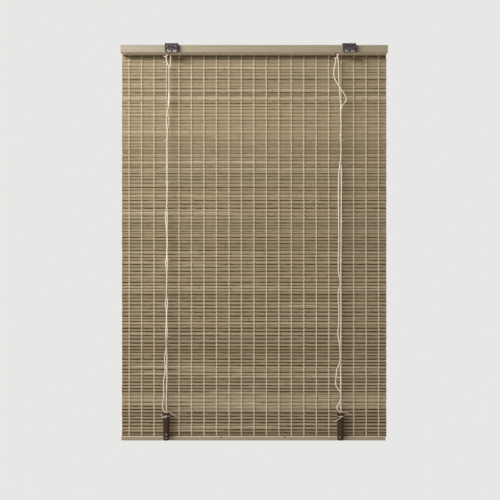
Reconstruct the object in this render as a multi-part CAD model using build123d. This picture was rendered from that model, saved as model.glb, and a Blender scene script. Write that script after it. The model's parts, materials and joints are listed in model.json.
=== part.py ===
"""Bamboo roman blind that hangs from two wall clips.

Millimetres. +Z is up, the front faces -Y, and the wall is the plane y = 0. The origin is the centre
of the pattern of screw holes in the two clips. The blind is let down, with its cords hanging.
"""

import math
import os

from build123d import *

# Mat of slats: panels between fold lines, then a skirt
mat_width = 600.0
slat_pitch = 7.63
slat_gap = 0.43
slat_thickness = 2.2
slat_chamfer = 0.5
slats_per_panel = 13
panel_count = 8
skirt_slats = 9
ringed_panels = (3, 5, 7)

# Warp threads
thread_count = 21
thread_width = 2.4
thread_thickness = 0.4
thread_left_margin = 15.2
thread_right_margin = 18.8

# Head rail
rail_end_inset = 1.0
rail_height = 17.0
rail_depth = 34.0
rail_edge_radius = 1.2
screw_head_room = 3.0
mat_setback = 21.0

# Cleat under the rail, and its nails
cleat_height = 3.0
cleat_depth = 3.0
cleat_setback = 0.8
nail_count = 5
nail_radius = 0.6
nail_bite = 6.5
nail_end_margin = 40.0

# Bottom bar
bar_end_inset = 1.1
bar_shift = -1.7
bar_height = 10.5
bar_depth = 9.0
bar_edge_radius = 2.0
bar_groove_depth = 2.4

# Wall clips
clip_left_margin = 114.9
clip_right_margin = 87.1
clip_width = 29.4
clip_sheet = 1.5
clip_rise = 2.5
clip_stand_off = 8.0
clip_front_radius = 6.0
clip_back_radius = 2.5
clip_flange_drop = 2.0
clip_post_width = 4.2
clip_post_drop = 1.2
clip_window_height = 7.1
clip_tongue_width = 5.0
clip_tongue_length = 6.2
clip_tooth_width = 3.0
clip_tooth_length = 3.6
clip_tooth_offset = 6.0
clip_rib_width = 8.0
clip_rib_margin = 5.0
screw_hole_radius = 2.2
screw_hole_spacing = 10.0

# Sprung lip of each clip, and its rivets
lip_sheet = 1.0
lip_width = 24.0
lip_reach = 1.2
lip_bend_radius = 0.8
rivet_offset = 9.6
rivet_height = 2.2
rivet_radius = 1.2
rivet_head_radius = 2.2
rivet_head_height = 0.8

# Cords, rings, eyelets and pins
cord_radius = 1.1
cord_stand_off = 15.0
left_cord_margin = 107.0
right_cord_margin = 115.3
ring_radius = 3.5
ring_wire_radius = 0.7
stopper_radius = 3.4
eyelet_bore_radius = 1.9
eyelet_shank_radius = 3.0
eyelet_flange_radius = 4.0
eyelet_flange_height = 0.8
pin_radius = 3.0
pin_bite = 4.0
channel_width = 6.0
channel_cord_height = 4.0
channel_floor_margin = 1.0

# Pivots and knots at the top of the pull cords
pivot_drop = 2.5
pivot_ball_radius = 1.25
knot_radius = 2.0
knot_length = 4.0
left_stem = 3.2
right_stem = 6.0

# Toggles
toggle_radius = 7.05
toggle_length = 62.0
toggle_edge_radius = 2.2
toggle_top_z = -815.0
toggle_bore_radius = 3.4
toggle_bore_depth = 10.0
toggle_cross_radius = 2.2
left_toggle_offset = -4.2
right_toggle_offset = 9.0

# Fits
clearance = 0.3
snug = 0.05
overrun = 1.0

# Routes of the strands: sideways from the cord's exit, out from the cords' plane, and height
left_a_top_route = [
    (-3.2, 0, -17.0), (-1.2, -0.2, -25.0), (1.0, -0.3, -36.0), (1.8, -1.4, -52.0),
    (3.4, -1.5, -72.0), (3.6, -0.4, -92.0), (2.7, 0, -110.19),
]
left_b_top_route = [
    (3.0, 0, -17.0), (3.9, 0.2, -25.0), (4.3, 0.3, -36.0), (3.4, 1.4, -52.0),
    (1.2, 1.5, -72.0), (0.2, 0.4, -92.0), (-0.7, 0, -110.19),
]
left_a_drop_route = [
    (2.7, 0, -111.74), (1.4, -1.2, -128.0), (-0.6, -1.7, -152.0), (-2.8, -1.2, -184.0),
    (-3.3, 0, -226.0), (-3.6, 1.2, -276.0), (-2.5, 1.7, -330.0), (-1.2, 1.2, -384.0),
    (-0.6, 0, -438.0), (-0.9, -1.2, -490.0), (-2.6, -1.7, -538.0), (-4.6, -1.2, -582.0),
    (-5.9, 0, -622.0), (-7.0, 0.2, -654.0), (-9.0, 0.3, -684.0), (-9.9, 0.2, -716.0),
    (-10.8, 0, -748.0), (-12.2, -0.2, -776.0), (-13.2, -0.2, -797.0), (-11.4, 0, -808.5),
    (-6.9, 0, -812.0), (-5.9, 0, -816.5), (-5.7, 0, -824.7),
]
left_b_drop_route = [
    (-0.7, 0, -111.74), (-1.0, 1.2, -128.0), (-0.6, 1.7, -152.0), (-0.4, 1.2, -184.0),
    (0.1, 0, -226.0), (-1.2, -1.2, -276.0), (-2.5, -1.7, -330.0), (-3.6, -1.2, -384.0),
    (-4.0, 0, -438.0), (-3.3, 1.2, -490.0), (-2.6, 1.7, -538.0), (-2.2, 1.2, -582.0),
    (-2.5, 0, -622.0), (-3.4, -0.2, -654.0), (-4.0, -0.3, -684.0), (-4.1, 0, -716.0),
    (-3.9, 0.2, -748.0), (-4.1, 0.1, -778.0), (-3.6, 0, -800.0), (-2.9, 0, -813.0),
    (-2.7, 0, -824.7),
]
right_a_top_route = [
    (-1.6, 0, -19.5), (-3.4, -0.4, -27.0), (-5.2, -1.0, -38.0), (-6.5, -1.6, -52.0),
    (-5.2, -2.4, -64.0), (0.6, -3.0, -76.0), (8.0, -3.0, -87.0), (15.5, -1.8, -96.0),
    (20.8, -0.4, -104.0), (21.8, 0, -110.19),
]
right_b_top_route = [
    (1.4, 0, -19.5), (2.8, 0.3, -27.0), (4.0, 0.5, -38.0), (4.9, 0.5, -50.0),
    (6.0, 0.4, -66.0), (7.2, 0.3, -82.0), (8.3, 0.2, -97.0), (8.9, 0, -110.19),
]
right_a_drop_route = [
    (21.8, 0, -111.74), (20.6, -0.1, -116.5), (16.0, -0.6, -122.0), (11.8, -1.2, -129.0),
    (9.4, -1.6, -140.0), (8.9, -1.7, -156.0), (7.2, -1.2, -178.0), (6.6, 0, -206.0),
    (8.2, 1.2, -238.0), (9.0, 1.7, -278.0), (10.0, 1.2, -326.0), (10.4, 0, -376.0),
    (9.9, -1.2, -426.0), (8.4, -1.7, -474.0), (6.6, -1.0, -514.0), (4.6, -0.4, -544.0),
    (4.4, -0.3, -578.0), (5.0, -0.4, -606.0), (3.4, -0.5, -624.0), (2.6, -0.4, -640.0),
    (5.0, -0.6, -656.0), (6.0, -1.2, -676.0), (5.8, -1.3, -696.0), (2.6, -0.8, -709.0),
    (-0.8, -0.4, -722.0), (-2.4, 0, -736.0), (-2.2, 0, -750.0), (1.8, -0.5, -761.0),
    (5.2, -1.1, -767.5), (7.4, -1.6, -775.5), (6.2, -1.4, -786.0), (2.2, -0.8, -795.0),
    (0.4, -0.3, -802.5), (2.6, 0, -808.5), (6.6, 0, -812.5), (7.3, 0, -817.5),
    (7.4, 0, -824.7),
]
right_b_drop_route = [
    (8.9, 0, -111.74), (9.3, 0.6, -124.0), (9.6, 1.2, -138.0), (9.0, 1.7, -156.0),
    (9.6, 1.3, -178.0), (10.4, 0.2, -206.0), (10.6, -1.2, -238.0), (8.2, -1.7, -278.0),
    (7.4, -1.2, -326.0), (6.8, 0, -376.0), (7.4, 1.2, -426.0), (8.8, 1.7, -474.0),
    (9.6, 1.0, -514.0), (9.4, 0.4, -544.0), (9.2, 0.3, -578.0), (9.0, 0.4, -606.0),
    (8.6, 0.5, -624.0), (8.5, 0.4, -640.0), (8.9, 0.6, -656.0), (9.0, 1.2, -676.0),
    (9.2, 1.3, -696.0), (9.3, 0.8, -712.0), (9.1, 0.4, -736.0), (9.3, 0.5, -761.0),
    (9.8, 1.3, -779.0), (9.4, 1.2, -790.0), (9.2, 0.6, -802.0), (10.3, 0.1, -813.5),
    (10.6, 0, -824.7),
]
arc_share = 0.45

# Depths, from the wall forward
rail_back_y = -(clip_sheet + screw_head_room)
rail_front_y = rail_back_y - rail_depth
mat_front_y = rail_front_y + mat_setback
slat_front_y = mat_front_y + thread_thickness
slat_back_y = slat_front_y + slat_thickness
mat_back_y = slat_back_y + thread_thickness
cord_y = mat_front_y - cord_stand_off
lift_y = mat_back_y + ring_radius + ring_wire_radius + snug
clip_back_of_front_y = rail_front_y - clip_stand_off
clip_front_y = clip_back_of_front_y - clip_sheet
lip_back_y = clip_back_of_front_y + lip_sheet

# Heights, from the screw holes' level
rail_top_z = rail_height / 2
rail_bottom_z = -rail_height / 2
mat_top_z = rail_bottom_z - cleat_height
panel_height = slats_per_panel * slat_pitch
skirt_top_z = mat_top_z - panel_count * panel_height
mat_bottom_z = skirt_top_z - skirt_slats * slat_pitch
bar_top_z = mat_bottom_z + bar_groove_depth
clip_top_z = rail_top_z + clip_rise
pivot_z = rail_bottom_z - pivot_drop
lip_bottom_z = rail_bottom_z - clearance - lip_sheet
cord_run_z = channel_cord_height
turn_radius = pin_radius + clearance + cord_radius
pin_z = cord_run_z - turn_radius
channel_floor_z = pin_z - pin_radius - channel_floor_margin

# Places across, from the middle between the clips
rail_length = mat_width - 2 * rail_end_inset
bar_length = mat_width - 2 * bar_end_inset
clip_spacing = rail_length - clip_left_margin - clip_right_margin
clip_xs = (-clip_spacing / 2, clip_spacing / 2)
blind_shift = (clip_right_margin - clip_left_margin) / 2
mat_left_x = blind_shift - mat_width / 2
mat_right_x = blind_shift + mat_width / 2
cord_xs = (mat_left_x + left_cord_margin, mat_right_x - right_cord_margin)
thread_pitch = (mat_width - thread_left_margin - thread_right_margin) / (thread_count - 1)
pin_ys = (lift_y - turn_radius, cord_y + turn_radius)
eyelet_ys = (lift_y, cord_y)


def block(low, high):
    """Box between two corners."""
    size = [b - a for a, b in zip(low, high)]
    middle = [(a + b) / 2 for a, b in zip(low, high)]
    return Pos(*middle) * Box(*size)


def rod_along_y(radius, x, z, front, back):
    """Cylinder along Y between two depths."""
    return Pos(x, (front + back) / 2, z) * Rot(90, 0, 0) * Cylinder(radius, back - front)


def rod_along_z(radius, x, y, low, high):
    """Upright cylinder between two heights."""
    return Pos(x, y, (low + high) / 2) * Cylinder(radius, high - low)


def cord_tube(name, points):
    """Tube along a route whose corners are rounded as far as their runs allow."""
    points = [Vector(*p) for p in points]
    radii = []
    for before, corner, after in zip(points, points[1:], points[2:]):
        turn = math.radians((corner - before).get_angle(after - corner))
        run = min((corner - before).length, (after - corner).length)
        radii.append(arc_share * run / math.tan(turn / 2))
    path = FilletPolyline(*points, radius=radii)
    start = Plane(origin=path @ 0, z_dir=path % 0)
    tube = sweep(start * Circle(cord_radius), path=path)
    full = math.pi * cord_radius**2 * path.length
    print(f"{name}: {path.length:.1f} mm, volume share {tube.volume / full:.4f}, radii", end=" ")
    print(" ".join(f"{r:.0f}" for r in radii))
    return tube


# Head rail and what is fixed to it
def make_rail():
    left = blind_shift - rail_length / 2
    rail = block(
        (left, rail_front_y, rail_bottom_z), (left + rail_length, rail_back_y, rail_top_z)
    )
    rail = fillet(rail.edges().filter_by(Axis.X), rail_edge_radius)
    for x in cord_xs:
        rail -= cord_channel(x)
        for y in eyelet_ys:
            hole = eyelet_shank_radius + snug
            recess = eyelet_flange_radius + snug
            low = rail_bottom_z - overrun
            rail -= rod_along_z(hole, x, y, low, channel_floor_z + overrun)
            rail -= rod_along_z(recess, x, y, low, rail_bottom_z + eyelet_flange_height + snug)
    for x in nail_xs():
        low = rail_bottom_z - overrun
        rail -= rod_along_z(nail_radius + snug, x, cleat_y(), low, rail_bottom_z + nail_bite + snug)
    return rail


def cord_channel(x):
    """Channel in the rail's top for one cord, with seats for its two pins."""
    half = channel_width / 2
    side = eyelet_shank_radius + snug
    channel = block(
        (x - half, cord_y - side, channel_floor_z), (x + half, lift_y + side, rail_top_z + overrun)
    )
    seat_half = half + pin_bite + snug
    for y in pin_ys:
        r = pin_radius + snug
        channel += Pos(x, y, pin_z) * Rot(0, 90, 0) * Cylinder(r, 2 * seat_half)
        channel += block((x - seat_half, y - r, pin_z), (x + seat_half, y + r, rail_top_z + overrun))
    return channel


def make_guide_pins():
    length = channel_width + 2 * pin_bite
    pin = Rot(0, 90, 0) * Cylinder(pin_radius, length)
    return [Pos(x, y, pin_z) * pin for x in cord_xs for y in pin_ys]


def make_eyelets():
    flange_top = rail_bottom_z + eyelet_flange_height
    eyelets = []
    for x in cord_xs:
        for y in eyelet_ys:
            eyelet = rod_along_z(eyelet_shank_radius, x, y, rail_bottom_z, channel_floor_z)
            eyelet += rod_along_z(eyelet_flange_radius, x, y, rail_bottom_z, flange_top)
            bottom = rail_bottom_z - overrun
            eyelet -= rod_along_z(eyelet_bore_radius, x, y, bottom, channel_floor_z + overrun)
            eyelets.append(eyelet)
    return eyelets


def cleat_y():
    return mat_front_y + cleat_setback + cleat_depth / 2


def nail_xs():
    reach = rail_length / 2 - nail_end_margin
    step = 2 * reach / (nail_count - 1)
    return [blind_shift - reach + i * step for i in range(nail_count)]


def make_cleat():
    left = blind_shift - rail_length / 2
    front = mat_front_y + cleat_setback
    cleat = block((left, front, mat_top_z), (left + rail_length, front + cleat_depth, rail_bottom_z))
    for x in nail_xs():
        low = mat_top_z - overrun
        cleat -= rod_along_z(nail_radius + snug, x, cleat_y(), low, rail_bottom_z + overrun)
    return cleat


def make_nails():
    top = rail_bottom_z + nail_bite
    return [rod_along_z(nail_radius, x, cleat_y(), mat_top_z, top) for x in nail_xs()]


# Wall clips
def arched_face(front, back, bottom, top, front_radius, back_radius):
    """Upright face between two depths, with its upper corners rounded."""
    face = Pos((front + back) / 2, (bottom + top) / 2) * Rectangle(back - front, top - bottom)
    face = fillet(face.vertices().group_by(Axis.Y)[-1].sort_by(Axis.X)[0], front_radius)
    return fillet(face.vertices().group_by(Axis.Y)[-1].sort_by(Axis.X)[-1], back_radius)


def make_clip(x):
    bottom = rail_bottom_z - clip_flange_drop
    front_bottom = rail_bottom_z - clip_post_drop
    under_top = clip_top_z - clip_sheet
    profile = arched_face(clip_front_y, 0, bottom, clip_top_z, clip_front_radius, clip_back_radius)
    inner_radii = (clip_front_radius - clip_sheet, clip_back_radius - clip_sheet)
    profile -= arched_face(clip_back_of_front_y, -clip_sheet, bottom - overrun, under_top, *inner_radii)
    clip = extrude(Plane.YZ.offset(x - clip_width / 2) * profile, clip_width)
    clip -= block(
        (x - clip_width, clip_front_y - overrun, bottom - overrun),
        (x + clip_width, clip_back_of_front_y + overrun, front_bottom),
    )
    clip -= clip_window(x, front_bottom)
    clip += clip_rib(x, under_top)
    for z in (-screw_hole_spacing / 2, screw_hole_spacing / 2):
        clip -= rod_along_y(screw_hole_radius, x, z, -clip_sheet - overrun, overrun)
    for side in (-rivet_offset, rivet_offset):
        front = clip_front_y - overrun
        clip -= rod_along_y(rivet_radius + snug, x + side, rivet_height, front, lip_back_y)
    return clip


def clip_window(x, bottom):
    """Opening between the posts of a clip's front, round a tongue and two teeth."""
    top = bottom + clip_window_height
    half = clip_width / 2 - clip_post_width
    opening = Pos(0, (top + bottom - overrun) / 2) * Rectangle(2 * half, top - bottom + overrun)
    opening -= hanging_finger(0, top, clip_tongue_width, clip_tongue_length)
    for side in (-clip_tooth_offset, clip_tooth_offset):
        opening -= hanging_finger(side, top, clip_tooth_width, clip_tooth_length)
    front = Plane(origin=(x, clip_front_y - overrun, 0), x_dir=(1, 0, 0), z_dir=(0, -1, 0))
    return extrude(front * opening, -(overrun + clip_sheet + lip_sheet / 2))


def hanging_finger(across, top, width, length):
    """Finger with a round end that hangs from the window's upper edge."""
    straight = length - width / 2
    finger = Pos(across, top - straight / 2 + overrun / 2) * Rectangle(width, straight + overrun)
    return finger + Pos(across, top - straight) * Circle(width / 2)


def clip_rib(x, under_top):
    """Rib pressed down in a clip's top, which bears on the rail."""
    low = rail_top_z + clearance
    radius = clip_rib_width / 2
    front = rail_front_y + clip_rib_margin
    back = rail_back_y - clip_rib_margin
    rib = rod_along_y(radius, x, low + radius, front, back)
    slab = block((x - radius, front, low), (x + radius, back, under_top + clip_sheet / 2))
    return rib & slab


def make_lip(x):
    top = rivet_height + rivet_head_radius
    inner_end = rail_front_y + lip_reach
    under = rail_bottom_z - clearance
    outline = Polyline(
        (lip_back_y, top),
        (clip_back_of_front_y, top),
        (clip_back_of_front_y, lip_bottom_z),
        (inner_end, lip_bottom_z),
        (inner_end, under),
        (lip_back_y, under),
        close=True,
    )
    profile = make_face(outline)
    corner = profile.vertices().group_by(Axis.Y)[0].sort_by(Axis.X)[0]
    profile = fillet(corner, lip_bend_radius)
    lip = extrude(Plane.YZ.offset(x - lip_width / 2) * profile, lip_width)
    for side in (-rivet_offset, rivet_offset):
        front = clip_front_y - overrun
        lip -= rod_along_y(rivet_radius + snug, x + side, rivet_height, front, rail_front_y)
    return lip


def make_rivets():
    rivets = []
    for x in clip_xs:
        for side in (-rivet_offset, rivet_offset):
            place = x + side
            head_front = clip_front_y - rivet_head_height
            head = rod_along_y(rivet_head_radius, place, rivet_height, head_front, clip_front_y)
            rim = head.edges().group_by(Axis.Y)[0]
            head = fillet(rim, rivet_head_height / 2)
            rivets.append(head + rod_along_y(rivet_radius, place, rivet_height, clip_front_y, lip_back_y))
    return rivets


# Mat
def make_slats(top, count):
    section = chamfer(Rectangle(slat_thickness, slat_pitch - slat_gap).vertices(), slat_chamfer)
    slat = extrude(Plane.YZ * section, mat_width)
    middle = (slat_front_y + slat_back_y) / 2
    return [Pos(mat_left_x, middle, top - (i + 1 / 2) * slat_pitch) * slat for i in range(count)]


def make_threads(top, count):
    bottom = top - count * slat_pitch
    threads = []
    for i in range(thread_count):
        middle = mat_left_x + thread_left_margin + i * thread_pitch
        left = middle - thread_width / 2
        right = middle + thread_width / 2
        threads.append(block((left, mat_front_y, bottom), (right, slat_front_y, top)))
        threads.append(block((left, slat_back_y, bottom), (right, mat_back_y, top)))
    return threads


def ring_z(top):
    """Height of the rings behind the first slat below a fold line."""
    return top - slat_pitch / 2


def make_rings(top):
    return [Pos(x, lift_y, ring_z(top)) * Torus(ring_radius, ring_wire_radius) for x in cord_xs]


def make_bar():
    left = blind_shift + bar_shift - bar_length / 2
    middle = (slat_front_y + slat_back_y) / 2
    low = (left, middle - bar_depth / 2, bar_top_z - bar_height)
    high = (left + bar_length, middle + bar_depth / 2, bar_top_z)
    bar = fillet(block(low, high).edges().filter_by(Axis.X), bar_edge_radius)
    groove_low = (mat_left_x - overrun, mat_front_y - snug, mat_bottom_z)
    groove_high = (mat_right_x + overrun, mat_back_y + snug, bar_top_z + overrun)
    return bar - block(groove_low, groove_high)


# Cords and toggles
def make_cord_in_rail(name, x):
    exit_z = pivot_z + pivot_ball_radius + clearance
    path = FilletPolyline(
        (x, lift_y, rail_bottom_z),
        (x, lift_y, cord_run_z),
        (x, cord_y, cord_run_z),
        (x, cord_y, exit_z),
        radius=turn_radius,
    )
    print(f"{name}: {path.length:.1f} mm, radius {turn_radius:.1f}")
    return sweep(Plane(origin=path @ 0, z_dir=path % 0) * Circle(cord_radius), path=path)


def make_lift_cord(x):
    """Taut cord through the rings, with a stopper knot under the lowest one."""
    ring_under = ring_z(skirt_top_z) - ring_wire_radius
    knot_middle = ring_under - stopper_radius
    cord = rod_along_z(cord_radius, x, lift_y, knot_middle, rail_bottom_z)
    return cord + Pos(x, lift_y, knot_middle) * Sphere(stopper_radius)


def make_knot(x, stem):
    """Pivot ball at the cord's exit, a short stem, and the knot across it."""
    knot_z = pivot_z - stem
    knot = Pos(x, cord_y, pivot_z) * Sphere(pivot_ball_radius)
    knot += rod_along_z(cord_radius, x, cord_y, knot_z, pivot_z)
    knot += Pos(x, cord_y, knot_z) * Rot(0, 90, 0) * Cylinder(knot_radius, knot_length)
    for side in (-knot_length / 2, knot_length / 2):
        knot += Pos(x + side, cord_y, knot_z) * Sphere(knot_radius)
    return knot


def placed(route, x):
    return [(x + across, cord_y + out, z) for across, out, z in route]


def make_top_strand(name, route, x):
    """Strand from the knot to its lower pivot, which ends in a ball on the pivot's axis."""
    points = placed(route, x)
    return cord_tube(name, points) + Pos(*points[-1]) * Sphere(pivot_ball_radius)


def make_toggle(x):
    bottom = toggle_top_z - toggle_length
    toggle = rod_along_z(toggle_radius, x, cord_y, bottom, toggle_top_z)
    toggle = fillet(toggle.edges().filter_by(GeomType.CIRCLE), toggle_edge_radius)
    floor = toggle_top_z - toggle_bore_depth
    toggle -= rod_along_z(toggle_bore_radius, x, cord_y, floor, toggle_top_z + overrun)
    cross_z = floor + toggle_cross_radius
    cross = Rot(0, 90, 0) * Cylinder(toggle_cross_radius, 2 * (toggle_radius + overrun))
    return toggle - Pos(x, cord_y, cross_z) * cross


def save(name, shape):
    if isinstance(shape, list):
        shape = Compound(children=shape)
    export_step(shape, f"parts/{name}.step")


os.makedirs("parts", exist_ok=True)
save("head_batten", make_rail())
save("hanging_cleat", make_cleat())
save("cleat_nails", make_nails())
save("cord_eyelets", make_eyelets())
save("guide_pins", make_guide_pins())
save("bracket_rivets", make_rivets())
for side, x in zip(("left", "right"), clip_xs):
    save(f"bracket_{side}", make_clip(x))
    save(f"spring_lip_{side}", make_lip(x))

for panel in range(1, panel_count + 1):
    top = mat_top_z - (panel - 1) * panel_height
    save(f"slats_{panel}", make_slats(top, slats_per_panel))
    save(f"threads_{panel}", make_threads(top, slats_per_panel))
    if panel in ringed_panels:
        save(f"lift_rings_{panel}", make_rings(top))
save("slats_skirt", make_slats(skirt_top_z, skirt_slats))
save("threads_skirt", make_threads(skirt_top_z, skirt_slats))
save("lift_rings_skirt", make_rings(skirt_top_z))
save("bottom_bar", make_bar())

routes = {
    "left": (left_a_top_route, left_b_top_route, left_a_drop_route, left_b_drop_route),
    "right": (right_a_top_route, right_b_top_route, right_a_drop_route, right_b_drop_route),
}
stems = {"left": left_stem, "right": right_stem}
toggle_offsets = {"left": left_toggle_offset, "right": right_toggle_offset}
for side, x in zip(("left", "right"), cord_xs):
    a_top, b_top, a_drop, b_drop = routes[side]
    save(f"{side}_cord_in_rail", make_cord_in_rail(f"{side}_cord_in_rail", x))
    save(f"{side}_lift_cord", make_lift_cord(x))
    save(f"{side}_knot", make_knot(x, stems[side]))
    save(f"{side}_strand_a_top", make_top_strand(f"{side}_strand_a_top", a_top, x))
    save(f"{side}_strand_b_top", make_top_strand(f"{side}_strand_b_top", b_top, x))
    save(f"{side}_strand_a_drop", cord_tube(f"{side}_strand_a_drop", placed(a_drop, x)))
    save(f"{side}_strand_b_drop", cord_tube(f"{side}_strand_b_drop", placed(b_drop, x)))
    save(f"{side}_toggle", make_toggle(x + toggle_offsets[side]))
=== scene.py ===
"""Looks of the bamboo roman blind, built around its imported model.

Metres, in the model's frame: +Z is up, the front faces -Y, and the wall is the plane y = 0.
"""

import json
import math
import random

import bpy
import numpy as np
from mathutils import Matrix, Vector


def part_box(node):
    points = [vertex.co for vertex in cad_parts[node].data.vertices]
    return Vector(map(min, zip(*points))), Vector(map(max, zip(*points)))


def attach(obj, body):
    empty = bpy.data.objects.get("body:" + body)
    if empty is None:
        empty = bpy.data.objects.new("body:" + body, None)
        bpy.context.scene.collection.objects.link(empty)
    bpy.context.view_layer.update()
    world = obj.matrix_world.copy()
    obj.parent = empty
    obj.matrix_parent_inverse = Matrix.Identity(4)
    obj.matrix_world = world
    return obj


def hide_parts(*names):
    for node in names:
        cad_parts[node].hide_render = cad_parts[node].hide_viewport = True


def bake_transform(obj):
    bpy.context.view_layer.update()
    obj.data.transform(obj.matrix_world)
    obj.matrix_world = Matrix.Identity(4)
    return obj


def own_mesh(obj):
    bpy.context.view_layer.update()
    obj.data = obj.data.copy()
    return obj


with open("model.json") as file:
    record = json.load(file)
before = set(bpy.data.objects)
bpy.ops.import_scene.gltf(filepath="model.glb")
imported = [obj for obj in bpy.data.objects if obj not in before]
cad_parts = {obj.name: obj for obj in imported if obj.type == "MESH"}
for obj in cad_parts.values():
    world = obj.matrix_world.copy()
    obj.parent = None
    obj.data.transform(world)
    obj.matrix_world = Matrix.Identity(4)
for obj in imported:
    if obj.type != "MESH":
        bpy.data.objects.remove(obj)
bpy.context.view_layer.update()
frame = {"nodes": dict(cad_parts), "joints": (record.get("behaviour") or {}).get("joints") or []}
nodes = frame["nodes"]
hinges = {joint["child"]: joint["pos_m"] for joint in frame["joints"] if "pos_m" in joint}
rng = random.Random(11)

# Panels of the mat, from the top down, and those that carry lift rings
panels = [*range(1, 9), "skirt"]
ringed = (3, 5, 7, "skirt")

# Slats: lively widths, rounded edges, ragged ends and a few culm rings
slat_pitch = 0.00763
slat_thickness = 0.0022
slat_overlap = 0.00003
slat_proud = 0.00016
slat_wave = 0.00012
slat_wave_turns = (0.7, 1.6, 3.1)
slat_end_ragged = 0.0006
ragged_shares = (-0.3, 1)
width_spread_share = 0.16
width_limit_shares = (0.62, 1.45)
slat_stations = 12
slat_sides = 12
slat_back_power = 4.0
top_front_power = 3.2
bottom_front_power = 2.0
notch_power = 0.9
notch_reach = 0.0021
culm_ring_rise = 0.00022
culm_ring_reach = 0.0022
culm_ring_first_range = (0.02, 0.36)
culm_ring_step_range = (0.2, 0.42)
culm_ring_margin = 0.01
culm_station_shares = np.linspace(-2, 2, 7)

# Painted shade in the lines between slats: how dark it is at the mat's top and bottom, with a fainter
# stretch around calm_z
top_gap_range = (0.03, 1.0)
bottom_gap_range = (1.3, 3.0)
top_gap_power = 2.4
bottom_gap_power = 0.9
gap_growth = 1.05
calm_z = -0.185
calm_reach = 0.075
calm_share = 0.6
edge_from_share = 0.56
bar_foot_share = -0.2

# Lines of a known depth of painted shade, by panel and place, counted down from its top or, below zero, up
# from its foot
known_gaps = {
    (8, 9): 2.6, (8, 10): 0.5, (8, 11): 0.4, (8, 12): 0.9, ("skirt", 2): 2.4, ("skirt", -1): 3.0,
}

# Tones of the slats, darker towards the mat's bottom, and the slats that are paler by a known amount
top_tone = 0.43
bottom_tone = 0.33
tone_spread = 0.1
pale_slats = {(8, 8): 0.1, (8, 10): 0.34, (8, 11): 0.3, (8, 12): 0.12, (1, 6): 0.1, (1, 12): 0.1}

# Painted highlights on upper edges: random stretches, and known ones by height, left end and right end
crest_share = 0.16
crest_reach_range = (0.05, 0.25)
crest_fade = 0.006
crest_angle = math.radians(122)
crest_width = math.radians(26)
crest_lines = [
    (-0.0375, -0.182, -0.023), (-0.0622, 0.124, 0.287), (-0.0906, -0.057, 0.181), (-0.1076, 0.124, 0.287),
    (-0.1228, -0.314, -0.243), (-0.1634, 0.133, 0.287), (-0.2496, -0.239, 0.022), (-0.5807, 0.045, 0.135),
    (-0.7744, -0.123, 0.015), (-0.8034, -0.103, -0.001),
]

# Warp threads, of two yarns each, and the shade beside them on the slats
thread_count = 21
thread_width = 0.0024
thread_shift = 0.0012
yarn_width = 0.0018
yarn_depth = 0.0011
yarn_sides = 6
yarn_cross = 0.0012
yarn_slat_shares = (0.16, 0.5, 0.84)
beside_thread = np.array([-0.0026, -0.001, 0.0012, 0.0028, 0.0044])
shade_offset = 0.0028
shade_reach = 0.0016
shade_floor_share = 0.28

# Ties of the lift rings
ring_reach = 0.0042
ring_tie_width = 0.0011
ring_tie_high_share = 1.3
ring_tie_deep_share = 0.55
ring_tie_steps = 15

# Stitches of the cord guides on the mat's front: their warp threads, and places along and out from one
guide_threads = (3, 17)
guide_width = 0.0016
guide_slope_share = 0.6
guide_shares = ((0, -0.5), (0.18, 0.7), (0.5, 1), (0.82, 0.75), (1, -0.5))

# Height of each row, and from where to where its two stitches reach, sideways from their warp threads
guide_rows = [
    (-0.0251, (-0.0073, 0.0002), (-0.0012, 0.0026)),
    (-0.1146, (-0.0038, 0.0012), (-0.0004, 0.0036)),
    (-0.2025, (-0.0038, 0.0014), (-0.0006, 0.007)),
    (-0.2984, (-0.0024, 0.0062), (-0.0006, 0.007)),
    (-0.3868, (0.0002, 0.0059), (-0.0022, 0.006)),
    (-0.4741, (0.0002, 0.0066), (-0.0028, 0.005)),
    (-0.5614, (0.0009, 0.007), (-0.0004, 0.0044)),
    (-0.6476, (0.0009, 0.0064), (-0.0012, 0.0038)),
    (-0.7395, (0.0002, 0.0064), (-0.0092, 0.0048)),
]

# Cords, of three plies
cord_diameter = 0.0022
cord_sides = 12
cord_steps = 16
cord_order = 3
ply_count = 3
ply_twist = 0.0085
ply_share = 0.1
lift_stations = 700

# Knots
knot_wide = 0.00118
knot_high = 0.00062
knot_deep = 0.0011
knot_cord = 0.0019
knot_steps = 64
small_knot_share = 0.55

# Strings round the toggles, and stubs of string in their fronts: sideways from the axis, and height
tie_diameter = 0.0012
tie_knot_cord = 0.0011
tie_knot_rise_share = 0.55
peg_diameter = 0.0026
peg_shares = (0.6, 0.2, -0.15)
left_pegs = [(0.0011, -0.8704), (0.0011, -0.8628)]
right_pegs = [(-0.0021, -0.8693)]

# Nail heads on the bottom bar
bar_nail_diameter = 0.0032
bar_nail_shares = (0.6, 0.2, -0.1)
bar_nail_places = [(-0.0887, -0.8737), (0.0558, -0.8737)]

# Surfaces: depth of their grain, and length of one turn of a twine's fibres
bamboo_grain = 0.00025
wood_grain = 0.00012
toggle_grain = 0.0002
metal_grain = 0.00008
plastic_grain = 0.00005
yarn_grain = 0.00018
cord_grain = 0.00025
string_grain = 0.0002
yarn_turn = 0.0016
cord_turn = 0.00283
string_turn = 0.0018

# Meshes: the steepest edge that is shaded smooth, and the size of a tube's round end
sharp_angle = math.radians(50)
end_share = 0.45

# Camera, lamps, surroundings and floor
camera_place = (-0.0234, -1.5175, -0.4503)
camera_lens = 47.62
ambient_colour = (1.0, 0.94, 0.83)
ambient_strength = 0.088
ground_colour = (0.8, 0.8, 0.785)
floor_radius = 1.0
floor_sides = 96
floor_z = -1.55

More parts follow.
